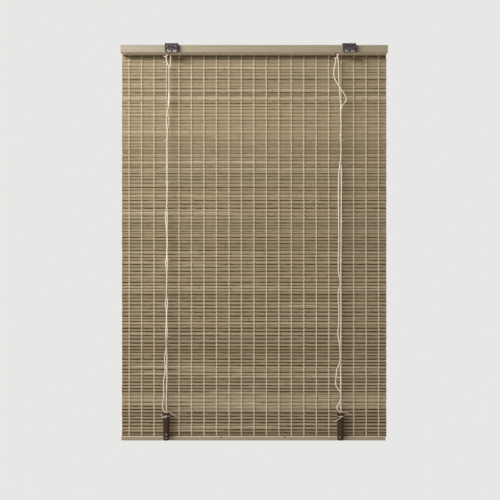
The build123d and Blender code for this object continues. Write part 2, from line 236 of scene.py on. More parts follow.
# Name, place, aim, width and height, power and colour of each lamp
lamps = [
    ("key", (-1.4, -1.5, 0.8), (-0.05, 0, -0.4), (2.2, 0.7), 79, (1.0, 0.985, 0.96)),
    ("low", (0.1, -1.3, -1.3), (0, 0, -0.1), (0.9, 0.9), 3.2, (1.0, 0.94, 0.84)),
    ("back", (0.9, 1.6, 1.0), (0, 0, -0.45), (1.6, 0.8), 30, (1.0, 0.97, 0.92)),
]

# Routes of each cord's two strands: sideways from its exit, out from the cords' plane, and height
left_top_routes = [
    [(-0.0046, 0, -0.0172), (-0.0041, -0.0002, -0.0225), (-0.0032, -0.0004, -0.0282),
     (-0.0008, -0.0008, -0.0335), (0.0017, -0.0012, -0.0395), (0.0022, -0.0012, -0.0475),
     (0.0019, -0.0011, -0.058), (0.002, -0.0011, -0.0745), (0.0021, -0.0011, -0.0925),
     (0.0024, -0.0009, -0.11019)],
    [(0.0055, 0, -0.017), (0.0051, 0.0002, -0.0235), (0.0047, 0.0004, -0.0315), (0.0041, 0.0008, -0.0388),
     (0.0031, 0.0012, -0.0475), (0.0028, 0.0011, -0.058), (0.0027, 0.0011, -0.0745),
     (0.0021, 0.0011, -0.0925), (0, 0.0009, -0.11019)],
]
left_drop_routes = [
    [(0.0024, -0.0009, -0.11174), (0.0012, -0.001, -0.126), (-0.0022, -0.001, -0.146),
     (-0.0036, -0.001, -0.16), (-0.0026, -0.0011, -0.172), (-0.001, -0.0011, -0.18),
     (-0.002, -0.0011, -0.196), (-0.0023, -0.0011, -0.236), (-0.0019, -0.0011, -0.286),
     (-0.0022, -0.0011, -0.334), (-0.003, -0.0008, -0.355), (-0.0062, -0.0003, -0.367),
     (-0.0067, 0.0003, -0.38), (-0.005, 0.0008, -0.394), (-0.0028, 0.0011, -0.407),
     (-0.0022, 0.0011, -0.438), (-0.0034, 0.0008, -0.464), (-0.0066, 0, -0.478),
     (-0.0038, -0.0008, -0.491), (-0.0022, -0.0011, -0.51), (-0.0034, -0.0011, -0.538),
     (-0.0042, -0.0008, -0.558), (-0.0068, 0, -0.57), (-0.0044, 0.0008, -0.584), (-0.004, 0.0011, -0.612),
     (-0.0062, 0, -0.632), (-0.0042, -0.001, -0.652), (-0.0044, -0.0008, -0.674),
     (-0.0088, -0.0002, -0.69), (-0.0068, 0.0002, -0.71), (-0.007, 0.0003, -0.726),
     (-0.011, 0.0002, -0.742), (-0.0103, 0, -0.764), (-0.0102, -0.0002, -0.782),
     (-0.0134, -0.0002, -0.7985), (-0.012, 0, -0.8092), (-0.008, 0, -0.8128), (-0.0061, 0, -0.8168),
     (-0.0057, 0, -0.8247)],
    [(0, 0.0009, -0.11174), (0, 0.001, -0.126), (0.0009, 0.001, -0.146), (0.0018, 0.001, -0.16),
     (0.0004, 0.0011, -0.172), (-0.0004, 0.0011, -0.182), (-0.0014, 0.0011, -0.2),
     (-0.0013, 0.0011, -0.24), (-0.0015, 0.0011, -0.29), (-0.002, 0.0011, -0.338),
     (-0.0024, 0.0008, -0.356), (-0.0016, 0.0003, -0.374), (-0.002, -0.0003, -0.39),
     (-0.0026, -0.001, -0.404), (-0.0016, -0.0011, -0.436), (-0.0024, -0.001, -0.46),
     (-0.0014, 0, -0.478), (-0.0018, 0.0008, -0.492), (-0.0017, 0.0011, -0.512),
     (-0.0028, 0.0011, -0.538), (-0.003, 0.0008, -0.556), (-0.0008, 0, -0.57), (-0.0028, -0.0008, -0.586),
     (-0.0034, -0.0011, -0.61), (-0.0016, 0, -0.631), (-0.0034, 0.001, -0.65), (-0.0034, 0.001, -0.674),
     (-0.0026, 0.0003, -0.692), (-0.0032, 0, -0.712), (-0.0024, -0.0002, -0.736), (-0.0036, 0, -0.764),
     (-0.0038, 0.0002, -0.786), (-0.0041, 0.0001, -0.804), (-0.003, 0, -0.8135), (-0.0027, 0, -0.8247)],
]
right_top_routes = [
    [(-0.001, 0, -0.0183), (-0.0014, -0.0003, -0.0245), (-0.0022, -0.0005, -0.03),
     (-0.0042, -0.001, -0.037), (-0.005, -0.0014, -0.045), (-0.007, -0.0018, -0.0545),
     (-0.005, -0.0024, -0.0655), (0.0012, -0.003, -0.0765), (0.008, -0.003, -0.087),
     (0.015, -0.0018, -0.0965), (0.0206, -0.0004, -0.1045), (0.0221, 0, -0.11019)],
    [(0.0032, 0, -0.019), (0.0042, 0.0002, -0.0255), (0.0044, 0.0004, -0.0345), (0.0047, 0.0005, -0.0485),
     (0.005, 0.0004, -0.064), (0.0065, 0.0003, -0.08), (0.0071, 0.0002, -0.094), (0.0088, 0, -0.11019)],
]
right_drop_routes = [
    [(0.0221, 0, -0.11174), (0.0212, -0.0001, -0.1162), (0.0172, -0.0006, -0.1205),
     (0.0126, -0.0011, -0.1262), (0.0101, -0.0012, -0.135), (0.0092, -0.0011, -0.15),
     (0.0106, -0.0011, -0.17), (0.0098, -0.0011, -0.184), (0.008, -0.0011, -0.195),
     (0.0102, -0.0011, -0.21), (0.0104, -0.0011, -0.234), (0.0088, -0.001, -0.249),
     (0.0062, -0.0006, -0.267), (0.0044, -0.0002, -0.286), (0.0044, 0, -0.334), (0.0046, 0.0002, -0.38),
     (0.0056, 0.0002, -0.42), (0.0042, -0.0002, -0.456), (0.0038, -0.0003, -0.492),
     (0.0052, -0.0008, -0.506), (0.0086, -0.0012, -0.518), (0.0084, -0.0012, -0.529),
     (0.0046, -0.0006, -0.54), (0.0034, 0, -0.552), (0.005, 0.0002, -0.572), (0.0054, 0.0002, -0.6),
     (0.005, 0, -0.618), (0.0022, -0.0002, -0.637), (0.0052, -0.0006, -0.652), (0.0078, -0.0011, -0.672),
     (0.0084, -0.0012, -0.698), (0.005, -0.0008, -0.709), (0.0004, -0.0003, -0.717), (-0.0006, 0, -0.729),
     (-0.0016, 0, -0.742), (-0.002, 0, -0.753), (0.0016, -0.0005, -0.76), (0.007, -0.0011, -0.766),
     (0.01, -0.0014, -0.775), (0.0092, -0.0013, -0.786), (0.0064, -0.0009, -0.7945),
     (0.0012, -0.0003, -0.801), (0.0004, 0, -0.806), (0.0034, 0, -0.8105), (0.0068, 0, -0.814),
     (0.0074, 0, -0.818), (0.0074, 0, -0.8247)],
    [(0.0088, 0, -0.11174), (0.0094, 0.0006, -0.124), (0.0097, 0.0011, -0.138), (0.0096, 0.0011, -0.152),
     (0.0112, 0.0011, -0.17), (0.01, 0.0011, -0.184), (0.0086, 0.0011, -0.195), (0.0108, 0.0011, -0.21),
     (0.0108, 0.0011, -0.234), (0.0094, 0.001, -0.249), (0.0116, 0.0006, -0.267),
     (0.0115, 0.0002, -0.286), (0.0112, 0, -0.334), (0.0108, -0.0002, -0.38), (0.0108, -0.0002, -0.42),
     (0.01, 0.0002, -0.456), (0.0094, 0.0003, -0.492), (0.01, 0.0008, -0.506), (0.0092, 0.0012, -0.518),
     (0.0084, 0.0012, -0.529), (0.009, 0.0006, -0.54), (0.0093, 0, -0.552), (0.0102, -0.0002, -0.572),
     (0.0101, -0.0002, -0.6), (0.0098, 0, -0.618), (0.0092, 0.0002, -0.637), (0.0092, 0.0006, -0.652),
     (0.009, 0.0011, -0.672), (0.0088, 0.0012, -0.698), (0.0087, 0.0008, -0.712),
     (0.0092, 0.0003, -0.736), (0.009, 0.0006, -0.76), (0.0096, 0.0012, -0.768), (0.0105, 0.0014, -0.776),
     (0.0098, 0.0013, -0.786), (0.0092, 0.0008, -0.795), (0.0094, 0.0002, -0.808), (0.0104, 0, -0.8165),
     (0.0106, 0, -0.8247)],
]

# Stems and loose ends of each knot under the rail, measured as the strands are
left_knot_routes = [
    [(0, 0, -0.0085), (0.0022, -0.0002, -0.0098), (0.0046, -0.0002, -0.0126), (0.0055, 0, -0.017)],
    [(0, 0.0008, -0.0085), (-0.0016, 0.001, -0.0112), (-0.0036, 0.0004, -0.0142), (-0.0046, 0, -0.0172)],
    [(-0.0044, -0.0002, -0.0178), (-0.0056, -0.0006, -0.017), (-0.0074, -0.001, -0.0162),
     (-0.0088, -0.0012, -0.0157)],
]
right_knot_routes = [
    [(0, 0, -0.0085), (0.0008, -0.0002, -0.0102), (0.0022, -0.0003, -0.0124), (0.0028, 0, -0.0158)],
    [(0.0028, 0, -0.0158), (0.0022, -0.0003, -0.0168), (0.0004, -0.0003, -0.0174), (-0.001, 0, -0.0183)],
    [(0.0028, 0, -0.0158), (0.0031, 0.0001, -0.0174), (0.0032, 0, -0.019)],
    [(0.0018, -0.0006, -0.0122), (0.0036, -0.001, -0.0114), (0.0056, -0.001, -0.0103),
     (0.0072, -0.0008, -0.0096)],
    [(-0.0004, -0.0004, -0.0181), (-0.0022, -0.0008, -0.0192), (-0.0038, -0.001, -0.0199),
     (-0.0052, -0.001, -0.0203)],
]

# String round each toggle, then its two loose ends: sideways and out from the toggle's axis, and height
left_tie_routes = [
    [(0.0066, -0.0026, -0.8228), (0.0062, -0.0062, -0.8222), (0.0026, -0.0084, -0.8214),
     (-0.0016, -0.0086, -0.8222), (-0.0052, -0.0072, -0.8236), (-0.0068, -0.0028, -0.8228)],
    [(0.0006, -0.0088, -0.8246), (-0.0026, -0.0098, -0.8252), (-0.0066, -0.0098, -0.8232),
     (-0.0096, -0.0086, -0.8204), (-0.0121, -0.0072, -0.8176)],
    [(0.0012, -0.0012, -0.8168), (0.0028, -0.0026, -0.8136), (0.0066, -0.0044, -0.8128),
     (0.0112, -0.0046, -0.8152), (0.0162, -0.0032, -0.8194), (0.0212, -0.0012, -0.8232),
     (0.0252, 0.0004, -0.8272)],
]
right_tie_routes = [
    [(0.0066, -0.0026, -0.8228), (0.006, -0.0064, -0.8226), (0.0024, -0.0084, -0.8222),
     (-0.0014, -0.0086, -0.8228), (-0.0052, -0.0072, -0.8234), (-0.0068, -0.0028, -0.8228)],
    [(0.0022, -0.0088, -0.8226), (-0.0012, -0.01, -0.8244), (-0.0056, -0.0104, -0.8274),
     (-0.0102, -0.0096, -0.8308), (-0.0146, -0.008, -0.8338)],
    [(0.0014, -0.0012, -0.8168), (0.0034, -0.0028, -0.8136), (0.0076, -0.0046, -0.8126),
     (0.0126, -0.0046, -0.8142), (0.0182, -0.0036, -0.8168), (0.0242, -0.002, -0.8198)],
]

# Places of the cords, from the rings that their lift cords run through
ring_low, ring_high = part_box("lift_rings_skirt")
cord_x = {"left": ring_low.x + ring_reach, "right": ring_high.x - ring_reach}
cord_y = hinges["left_cord_top"][1]

# Places of the mat and its warp threads
mat_low, mat_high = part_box("slats_1")
mat_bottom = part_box("slats_skirt")[0].z
slat_middle_y = (mat_low.y + mat_high.y) / 2
thread_low, thread_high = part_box("threads_1")
thread_first = thread_low.x + thread_width / 2 + thread_shift
thread_step = (thread_high.x - thread_low.x - thread_width) / (thread_count - 1)
thread_xs = [thread_first + i * thread_step for i in range(thread_count)]
yarn_front = mat_low.y - yarn_depth / 4
yarn_back = mat_high.y + yarn_depth / 4


# Meshes
def new_object(name, data):
    """An object in the scene, with its data."""
    made = bpy.data.objects.new(name, data)
    bpy.context.scene.collection.objects.link(made)
    return made


class Shape:
    """Points, faces and point values of one mesh, gathered loft by loft."""

    def __init__(self):
        self.points = []
        self.faces = []
        self.values = {}
        self.size = 0

    def loft(self, rings, **values):
        """Adds a tube through rings of points, closed at both ends."""
        count, sides, _ = rings.shape
        grid = self.size + np.arange(count * sides).reshape(count, sides)
        turned = np.roll(grid, -1, axis=1)
        quads = np.stack([grid[:-1], turned[:-1], turned[1:], grid[1:]], axis=-1)
        self.faces += quads.reshape(-1, 4).tolist()
        self.faces.append(grid[0][::-1].tolist())
        self.faces.append(grid[-1].tolist())
        self.points.append(rings.reshape(-1, 3))
        for name, value in values.items():
            spread = np.broadcast_to(value, (count, sides)).reshape(-1)
            self.values.setdefault(name, []).append(spread)
        self.size += count * sides

    def build(self, name, material):
        """Makes the piece, with its point values and one material."""
        mesh = bpy.data.meshes.new(name)
        mesh.from_pydata(np.concatenate(self.points).tolist(), [], self.faces)
        for value_name, parts in self.values.items():
            attribute = mesh.attributes.new(value_name, "FLOAT", "POINT")
            attribute.data.foreach_set("value", np.concatenate(parts).astype(np.float32))
        mesh.shade_smooth()
        mesh.set_sharp_from_angle(angle=sharp_angle)
        mesh.materials.append(material)
        piece = new_object(name, mesh)
        return piece


def unit(vectors):
    return vectors / np.linalg.norm(vectors, axis=-1, keepdims=True)


def carried_sides(tangents):
    """Side vectors that turn with a line as little as they can."""
    helper = np.eye(3)[np.argmin(np.abs(tangents[0]))]
    sides = [unit(np.cross(tangents[0], helper))]
    for tangent in tangents[1:]:
        side = sides[-1] - tangent * (sides[-1] @ tangent)
        sides.append(unit(side))
    return np.array(sides)


def tube(shape, points, width, depth, sides, across=None, twist=0, lobe_share=0):
    """Adds an oval tube with round ends. Its width lies along across, or is carried along the line.

    With a twist, the tube's plies turn once in each such length.
    """
    tangents = unit(np.gradient(points, axis=0))
    nose = depth / 2
    first = points[0] - tangents[0] * nose
    last = points[-1] + tangents[-1] * nose
    points = np.vstack([first, points, last])
    tangents = np.vstack([tangents[0], tangents, tangents[-1]])
    size = np.ones(len(points))
    size[[0, -1]] = end_share
    if across is None:
        side = carried_sides(tangents)
    else:
        side = unit(across - tangents * (tangents @ across)[:, None])
    up = np.cross(tangents, side)
    along = np.concatenate([[0], np.cumsum(np.linalg.norm(np.diff(points, axis=0), axis=1))])
    angles = np.linspace(0, 2 * math.pi, sides, endpoint=False)
    swell = size[:, None]
    if twist:
        turn = 2 * math.pi * along / twist
        swell = swell * (1 + lobe_share * np.cos(ply_count * (angles[None, :] - turn[:, None])))
    wide = np.cos(angles) * width / 2 * swell
    deep = np.sin(angles) * depth / 2 * swell
    rings = points[:, None] + side[:, None] * wide[..., None] + up[:, None] * deep[..., None]
    shape.loft(rings, along=along[:, None], around=angles[None, :] / (2 * math.pi))


def add_flat_yarn(shape, points):
    """Adds a yarn that lies flat on the mat."""
    tube(shape, np.array(points), yarn_width, yarn_depth, yarn_sides, across=np.array([1.0, 0, 0]))


def add_cord(shape, points, diameter):
    """Adds a round cord of twisted plies."""
    tube(shape, points, diameter, diameter, cord_sides, twist=ply_twist, lobe_share=ply_share)


def add_rod(shape, points, diameter):
    """Adds a smooth round tube."""
    tube(shape, np.array(points), diameter, diameter, cord_sides)


def spline_points(route):
    """Points along a smooth spline that a route's points control."""
    curve = bpy.data.curves.new("route", "CURVE")
    curve.dimensions = "3D"
    curve.resolution_u = cord_steps
    spline = curve.splines.new("NURBS")
    spline.points.add(len(route) - 1)
    for point, place in zip(spline.points, route):
        point.co = (*place, 1)
    spline.order_u = cord_order
    spline.use_endpoint_u = True
    holder = new_object("route", curve)
    line = bpy.data.meshes.new_from_object(holder)
    points = np.array([vertex.co for vertex in line.vertices])
    bpy.data.objects.remove(holder)
    bpy.data.curves.remove(curve)
    bpy.data.meshes.remove(line)
    return points


# Materials
class Finish:
    """A material with one shader, and short ways to add nodes to it."""

    def __init__(self, name, roughness, **constants):
        self.material = bpy.data.materials.new(name)
        self.material.use_nodes = True
        self.tree = self.material.node_tree
        self.shader = self.tree.nodes["Principled BSDF"]
        self.shader.inputs["Roughness"].default_value = roughness
        for socket, value in constants.items():
            self.shader.inputs[socket.replace("_", " ")].default_value = value

    def add(self, kind, inputs=(), **settings):
        node = self.tree.nodes.new("ShaderNode" + kind)
        for setting, value in settings.items():
            setattr(node, setting, value)
        for socket, value in dict(inputs).items():
            self.feed(node.inputs[socket], value)
        return node

    def feed(self, socket, value):
        """Links a socket to another node's output, or sets it to a constant."""
        if isinstance(value, bpy.types.NodeSocket):
            self.tree.links.new(value, socket)
        else:
            socket.default_value = (*value, 1) if socket.type == "RGBA" else value

    def link(self, output, socket):
        self.tree.links.new(output, self.shader.inputs[socket])

    def value(self, name):
        """A value that the mesh holds at its points."""
        return self.add("Attribute", attribute_name=name).outputs["Fac"]

    def noise(self, cells, detail=4.0, roughness=0.55, distortion=0.0):
        """Noise in the object's own space, with so many cells a metre along each axis."""
        place = self.add("TexCoord").outputs["Object"]
        stretched = self.add("Mapping", {"Vector": place, "Scale": cells}).outputs["Vector"]
        inputs = {"Vector": stretched, "Scale": 1.0, "Detail": detail, "Roughness": roughness}
        return self.add("TexNoise", {**inputs, "Distortion": distortion}).outputs["Fac"]

    def ramp(self, factor, stops):
        """Colours, or greys given as one number, at places from 0 to 1."""
        node = self.add("ValToRGB", {"Fac": factor})
        elements = node.color_ramp.elements
        while len(elements) < len(stops):
            elements.new(1)
        for element, (place, colour) in zip(elements, stops):
            element.position = place
            grey = isinstance(colour, (int, float))
            element.color = (colour, colour, colour, 1) if grey else (*colour, 1)
        return node.outputs["Color"]

    def mix(self, kind, factor, first, second):
        """First and second colours mixed by a blend type."""
        node = self.add("Mix", data_type="RGBA", blend_type=kind, clamp_result=True)
        inputs = {socket.identifier: socket for socket in node.inputs}
        self.feed(inputs["Factor_Float"], factor)
        self.feed(inputs["A_Color"], first)
        self.feed(inputs["B_Color"], second)
        return next(socket for socket in node.outputs if socket.identifier == "Result_Color")

    def over(self, colour, factor, stops, tint):
        """A colour with a tint over it, as strong as the stops say for a factor."""
        return self.mix("MIX", self.ramp(factor, stops), colour, tint)

    def sums(self, operation, first, second, third=0.0):
        inputs = {0: first, 1: second, 2: third}
        return self.add("Math", inputs, operation=operation).outputs["Value"]

    def surface(self, colour, height, depth, strength):
        """Gives the shader its colour and grain, and returns the finished material."""
        self.link(colour, "Base Color")
        inputs = {"Height": height, "Distance": depth, "Strength": strength}
        self.link(self.add("Bump", inputs).outputs["Normal"], "Normal")
        return self.material


def bamboo_finish():
    """Split bamboo: long fibres, culm rings, a tone for each slat, painted shade in the lines between
    slats and beside the warp threads, and painted highlights along some upper edges.
    """
    finish = Finish("bamboo", 0.62, Specular_IOR_Level=0.15)
    tone = finish.value("tone")
    streak = finish.noise((2.5, 500, 420), detail=3)
    fibre = finish.noise((9, 900, 1700), detail=5, roughness=0.65)
    lifted = finish.sums("MULTIPLY_ADD", streak, 0.5, tone)
    level = finish.sums("SUBTRACT", lifted, 0.25)
    colour = finish.ramp(level, [
        (0, (0.15, 0.106, 0.058)),
        (0.3, (0.285, 0.219, 0.131)),
        (0.6, (0.395, 0.313, 0.198)),
        (1, (0.62, 0.53, 0.383)),
    ])
    blush = finish.noise((14, 60, 48), detail=2)
    colour = finish.over(colour, blush, [(0.55, 0), (0.75, 0.4)], (0.4, 0.275, 0.185))
    hue = finish.value("hue")
    colour = finish.over(colour, hue, [(0.55, 0), (1, 0.25)], (0.3, 0.262, 0.19))
    fine = finish.ramp(fibre, [(0.3, 0.62), (0.5, 1), (0.72, 1.3)])
    colour = finish.mix("MULTIPLY", 0.75, colour, fine)
    fleck = finish.noise((70, 700, 900), detail=1)
    colour = finish.over(colour, fleck, [(0.68, 0), (0.74, 0.7)], (0.12, 0.08, 0.045))
    ring = finish.value("ring")
    colour = finish.over(colour, ring, [(0.3, 0), (0.95, 0.4)], (0.15, 0.098, 0.052))
    # Painted shade in the lines between slats, patchy along them
    patch = finish.ramp(finish.noise((30, 60, 131), detail=1), [(0.36, 0.35), (0.6, 1.1)])
    edge = finish.sums("MULTIPLY", finish.value("edge"), patch)
    colour = finish.over(colour, edge, [(0, 0), (0.4, 0.5), (0.85, 0.97)], (0.04, 0.024, 0.007))
    # Painted highlight along the upper front of some slats
    crest = finish.value("crest")
    colour = finish.over(colour, crest, [(0.2, 0), (0.8, 0.75)], (0.62, 0.53, 0.38))
    shade = finish.value("shade")
    colour = finish.over(colour, shade, [(0.1, 0), (0.75, 0.92)], (0.035, 0.022, 0.008))
    finish.link(finish.ramp(fibre, [(0.3, 0.75), (0.7, 0.5)]), "Roughness")
    return finish.surface(colour, fibre, bamboo_grain, 0.7)


def wood_finish(name, colours, roughness, grain, end_colour, underside_lit_and_unfinished_colour, top_edge_painted_light, flat_top_painted_shade):
    """Planed wood with grain along X, a pale figure, end grain, painted light on its top edge, painted
    shade on its flat top, and an unfinished underside whose colour also holds painted light from below.
    """
    finish = Finish(name, roughness, Coat_Weight=0.12, Coat_Roughness=0.3)
    figure = finish.noise((1.6 * grain, 60 * grain, 60 * grain), detail=3, distortion=0.6)
    pores = finish.noise((12 * grain, 900, 900), detail=5, roughness=0.7)
    colour = finish.ramp(figure, [(0.25, colours[0]), (0.5, colours[1]), (0.78, colours[2])])
    colour = finish.mix("MULTIPLY", 0.35, colour, finish.ramp(pores, [(0.35, 0.7), (0.6, 1.1)]))
    normal = finish.add("NewGeometry").outputs["Normal"]
    sides = finish.add("SeparateXYZ", {"Vector": normal}).outputs
    end = finish.sums("ABSOLUTE", sides["X"], 0)
    below = finish.sums("MULTIPLY", sides["Z"], -1)
    underside_lit_and_unfinished = finish.mix("MULTIPLY", 0.4, underside_lit_and_unfinished_colour, finish.ramp(figure, [(0.3, 0.7), (0.7, 1)]))
    # Underside: unfinished wood, in a colour that also stands for painted light from below
    colour = finish.over(colour, below, [(0.7, 0), (0.9, 1)], underside_lit_and_unfinished)
    # Painted light on the top edge, and painted shade on the flat top
    colour = finish.over(colour, sides["Z"], [(0.15, 0), (0.5, 1)], top_edge_painted_light)
    colour = finish.over(colour, sides["Z"], [(0.85, 0), (0.97, 1)], flat_top_painted_shade)
    rings = finish.noise((500, 260, 700), detail=4)
    end_grain = finish.mix("MULTIPLY", 0.6, end_colour, finish.ramp(rings, [(0.3, 0.55), (0.7, 1.2)]))
    colour = finish.over(colour, end, [(0.7, 0), (0.9, 1)], end_grain)
    finish.link(finish.ramp(pores, [(0.3, roughness + 0.12), (0.7, roughness - 0.06)]), "Roughness")
    return finish.surface(colour, pores, wood_grain, 0.5)


def toggle_finish():
    """Turned wood, stained nearly black, with open pores and a waxed sheen."""
    finish = Finish("toggle_wood", 0.4, Specular_IOR_Level=0.16, Coat_Weight=0.03, Coat_Roughness=0.2)
    grain = finish.noise((700, 700, 18), detail=5, roughness=0.65)
    wear = finish.noise((90, 90, 40), detail=3)
    colour = finish.ramp(grain, [
        (0.28, (0.016, 0.007, 0.003)),
        (0.5, (0.038, 0.019, 0.01)),
        (0.75, (0.075, 0.04, 0.023)),
    ])
    colour = finish.over(colour, wear, [(0.55, 0), (0.8, 0.35)], (0.078, 0.045, 0.028))
    finish.link(finish.ramp(grain, [(0.3, 0.55), (0.7, 0.32)]), "Roughness")
    return finish.surface(colour, grain, toggle_grain, 0.6)


def twine_finish(name, pale, shade, twist, grain_depth):
    """Cotton: twisted fibres, soft fuzz and a little soiling."""
    finish = Finish(name, 0.88, Sheen_Weight=0.25, Sheen_Roughness=0.5)
    along = finish.value("along")
    around = finish.value("around")
    turn = finish.sums("MULTIPLY_ADD", along, 1 / twist, finish.sums("MULTIPLY", around, 2))
    wave = finish.sums("SINE", finish.sums("MULTIPLY", turn, 2 * math.pi), 0)
    ply = finish.sums("MULTIPLY_ADD", wave, 0.5, 0.5)
    fuzz = finish.noise((2600, 2600, 2600), detail=4, roughness=0.7)
    soil = finish.noise((60, 60, 60), detail=3)
    height = finish.sums("MULTIPLY_ADD", fuzz, 0.6, ply)
    colour = finish.ramp(height, [(0.2, shade), (0.85, pale)])
    colour = finish.mix("MULTIPLY", 0.5, colour, finish.ramp(soil, [(0.35, 0.82), (0.6, 1)]))
    return finish.surface(colour, height, grain_depth, 0.8)


def metal_finish(name, clean, worn, roughness, metallic=1.0, gloss=0.5, cells=220):
    """Sheet metal or turned metal, mottled and finely scratched."""
    finish = Finish(name, roughness, Metallic=metallic, Specular_IOR_Level=gloss)
    mottle = finish.noise((cells, cells, cells), detail=5, roughness=0.6)
    scratch = finish.noise((240, 2400, 2400), detail=3)
    colour = finish.ramp(mottle, [(0.35, clean), (0.68, worn)])
    height = finish.sums("MULTIPLY_ADD", mottle, 0.7, scratch)
    finish.link(finish.ramp(scratch, [(0.3, roughness - 0.1), (0.7, roughness + 0.14)]), "Roughness")
    return finish.surface(colour, height, metal_grain, 0.5)


def plastic_finish(name, pale, dull, roughness):
    """Moulded plastic, slightly clouded, with a faint orange-peel skin."""
    finish = Finish(name, roughness)
    cloud = finish.noise((160, 160, 160), detail=3)
    peel = finish.noise((1500, 1500, 1500), detail=2)
    colour = finish.ramp(cloud, [(0.35, dull), (0.65, pale)])
    finish.link(finish.ramp(peel, [(0.3, roughness + 0.1), (0.7, roughness - 0.05)]), "Roughness")
    return finish.surface(colour, peel, plastic_grain, 0.4)


def dress(material, *names):
    """Gives pieces that keep their own shape one material."""
    for name in names:
        slots = nodes[name].data.materials
        slots.clear()
        slots.append(material)


bamboo = bamboo_finish()
# Rail: painted shade on its top edge and flat top; its underside pale, unfinished wood with painted light
# from below
rail_wood = wood_finish(
    "rail_wood",
    [(0.265, 0.22, 0.145), (0.295, 0.247, 0.164), (0.325, 0.274, 0.184)],
    roughness=0.45, grain=1.0,
    end_colour=(0.3, 0.24, 0.155), underside_lit_and_unfinished_colour=(0.9, 0.78, 0.58),
    top_edge_painted_light=(0.17, 0.15, 0.1), flat_top_painted_shade=(0.17, 0.15, 0.1),
)
# Bar: a painted highlight on its rounded top edge, and painted shade on its flat top where the mat meets
# it
bar_wood = wood_finish(
    "bar_wood",
    [(0.26, 0.208, 0.136), (0.295, 0.24, 0.16), (0.33, 0.27, 0.184)],
    roughness=0.46, grain=1.3,
    end_colour=(0.3, 0.235, 0.15), underside_lit_and_unfinished_colour=(0.3, 0.24, 0.16),
    top_edge_painted_light=(0.58, 0.48, 0.34), flat_top_painted_shade=(0.1, 0.075, 0.04),
)
# Cleat: dark all over, painted shade under the rail
cleat_wood = wood_finish(
    "cleat_wood",
    [(0.1, 0.07, 0.035), (0.13, 0.092, 0.048), (0.16, 0.115, 0.062)],
    roughness=0.6, grain=1.6,
    end_colour=(0.14, 0.1, 0.055), underside_lit_and_unfinished_colour=(0.12, 0.085, 0.045),
    top_edge_painted_light=(0.13, 0.092, 0.048), flat_top_painted_shade=(0.13, 0.092, 0.048),
)
yarn = twine_finish("warp_yarn", (0.78, 0.69, 0.52), (0.46, 0.38, 0.26), yarn_turn, yarn_grain)
cotton = twine_finish("cord_cotton", (0.88, 0.81, 0.69), (0.62, 0.55, 0.43), cord_turn, cord_grain)
string = twine_finish("tie_string", (0.66, 0.6, 0.5), (0.4, 0.35, 0.27), string_turn, string_grain)
toggle_wood = toggle_finish()
dark_steel = metal_finish(
    "clip_steel", (0.004, 0.0035, 0.0045), (0.12, 0.115, 0.116),
    roughness=0.6, metallic=0.0, gloss=0.08, cells=300,
)
bright_steel = metal_finish(
    "lip_steel", (0.42, 0.385, 0.37), (0.2, 0.18, 0.175),
    roughness=0.55, metallic=0.3, gloss=0.3,
)
rivet_steel = metal_finish("rivet_steel", (0.1, 0.098, 0.096), (0.06, 0.058, 0.056), roughness=0.42)
nail_steel = metal_finish("nail_steel", (0.45, 0.44, 0.43), (0.3, 0.26, 0.22), roughness=0.4)
brass = metal_finish("eyelet_brass", (0.62, 0.45, 0.19), (0.42, 0.29, 0.12), roughness=0.32)
pin_plastic = plastic_finish("pin_plastic", (0.7, 0.69, 0.65), (0.55, 0.54, 0.5), roughness=0.4)
ring_plastic = plastic_finish("ring_plastic", (0.72, 0.68, 0.58), (0.58, 0.54, 0.44), roughness=0.38)


# Mat
def panel_body(panel):
    return "skirt" if panel == "skirt" else f"panel_{panel}"


def between(z, top_value, bottom_value):
    """A value that goes from the mat's top, with flatter slats, to its bottom, with rounder slats, deeper
    painted shade between them and darker tones.
    """
    down = max(0, (mat_high.z - z) / (mat_high.z - mat_bottom)) ** gap_growth
    return top_value + (bottom_value - top_value) * down


def near(stations, places, reach):
    """How close each station is to the nearest place, from 0 to 1."""
    closest = np.zeros_like(stations)
    for place in places:
        closest = np.maximum(closest, np.exp(-(((stations - place) / reach) ** 2)))
    return closest


def wander(reach):
    """A slow random wave along X, as a function of the place."""
    waves = [(turns, rng.uniform(-1, 1), rng.uniform(0, 2 * math.pi)) for turns in slat_wave_turns]
    length = mat_high.x - mat_low.x

    def height(places):
        angles = [2 * math.pi * turns * places / length + phase for turns, _, phase in waves]
        return reach * sum(share / turns * np.sin(a) for a, (turns, share, _) in zip(angles, waves))

    return height


def slat_edges(top, bottom):
    """Heights of the slats' edges, from the top down, with lively slat widths."""
    count = round((top - bottom) / slat_pitch)
    widths = np.array([1 + width_spread_share * rng.gauss(0, 1) for _ in range(count)])
    widths = np.clip(widths, *width_limit_shares)
    return top - (top - bottom) * np.concatenate([[0], np.cumsum(widths)]) / widths.sum()


def slat_line(z, straight):
    """The line between two slats: straight at a fold, and wavy elsewhere."""
    wave = wander(0 if straight else slat_wave)
    return lambda places: z + wave(places)


def groove_shade(z):
    """How deep the painted shade in a line between slats is."""
    low, high = (between(z, top, bottom) for top, bottom in zip(top_gap_range, bottom_gap_range))
    calm = 1 - calm_share * math.exp(-(((z - calm_z) / calm_reach) ** 2))
    power = between(z, top_gap_power, bottom_gap_power)
    return calm * (low + (high - low) * rng.random() ** power)


def culm_ring_places(left, right):
    """Where along X a slat has the rings of its culm."""
    places = []
    place = left + rng.uniform(*culm_ring_first_range)
    while place < right - culm_ring_margin:
        places.append(place)
        place += rng.uniform(*culm_ring_step_range)
    return places


def slat_places(left, right, culm_rings):
    """Where along X a slat has points: evenly, and closer at its culm rings and beside warp threads."""
    close = culm_station_shares * culm_ring_reach
    places = np.concatenate([
        np.linspace(left, right, slat_stations),
        *(x + close for x in culm_rings),
        *(x + beside_thread for x in thread_xs),
    ])
    return np.unique(np.clip(places, left, right))


def slat_section(angles, front_power):
    """How deep and how high a slat's section reaches, from -1 to 1, at each station and angle."""
    power = 2 / np.where(np.cos(angles) < 0, front_power[:, None], slat_back_power)
    deep = np.sign(np.cos(angles)) * np.abs(np.cos(angles)) ** power
    high = np.sign(np.sin(angles)) * np.abs(np.sin(angles)) ** power
    return deep, high


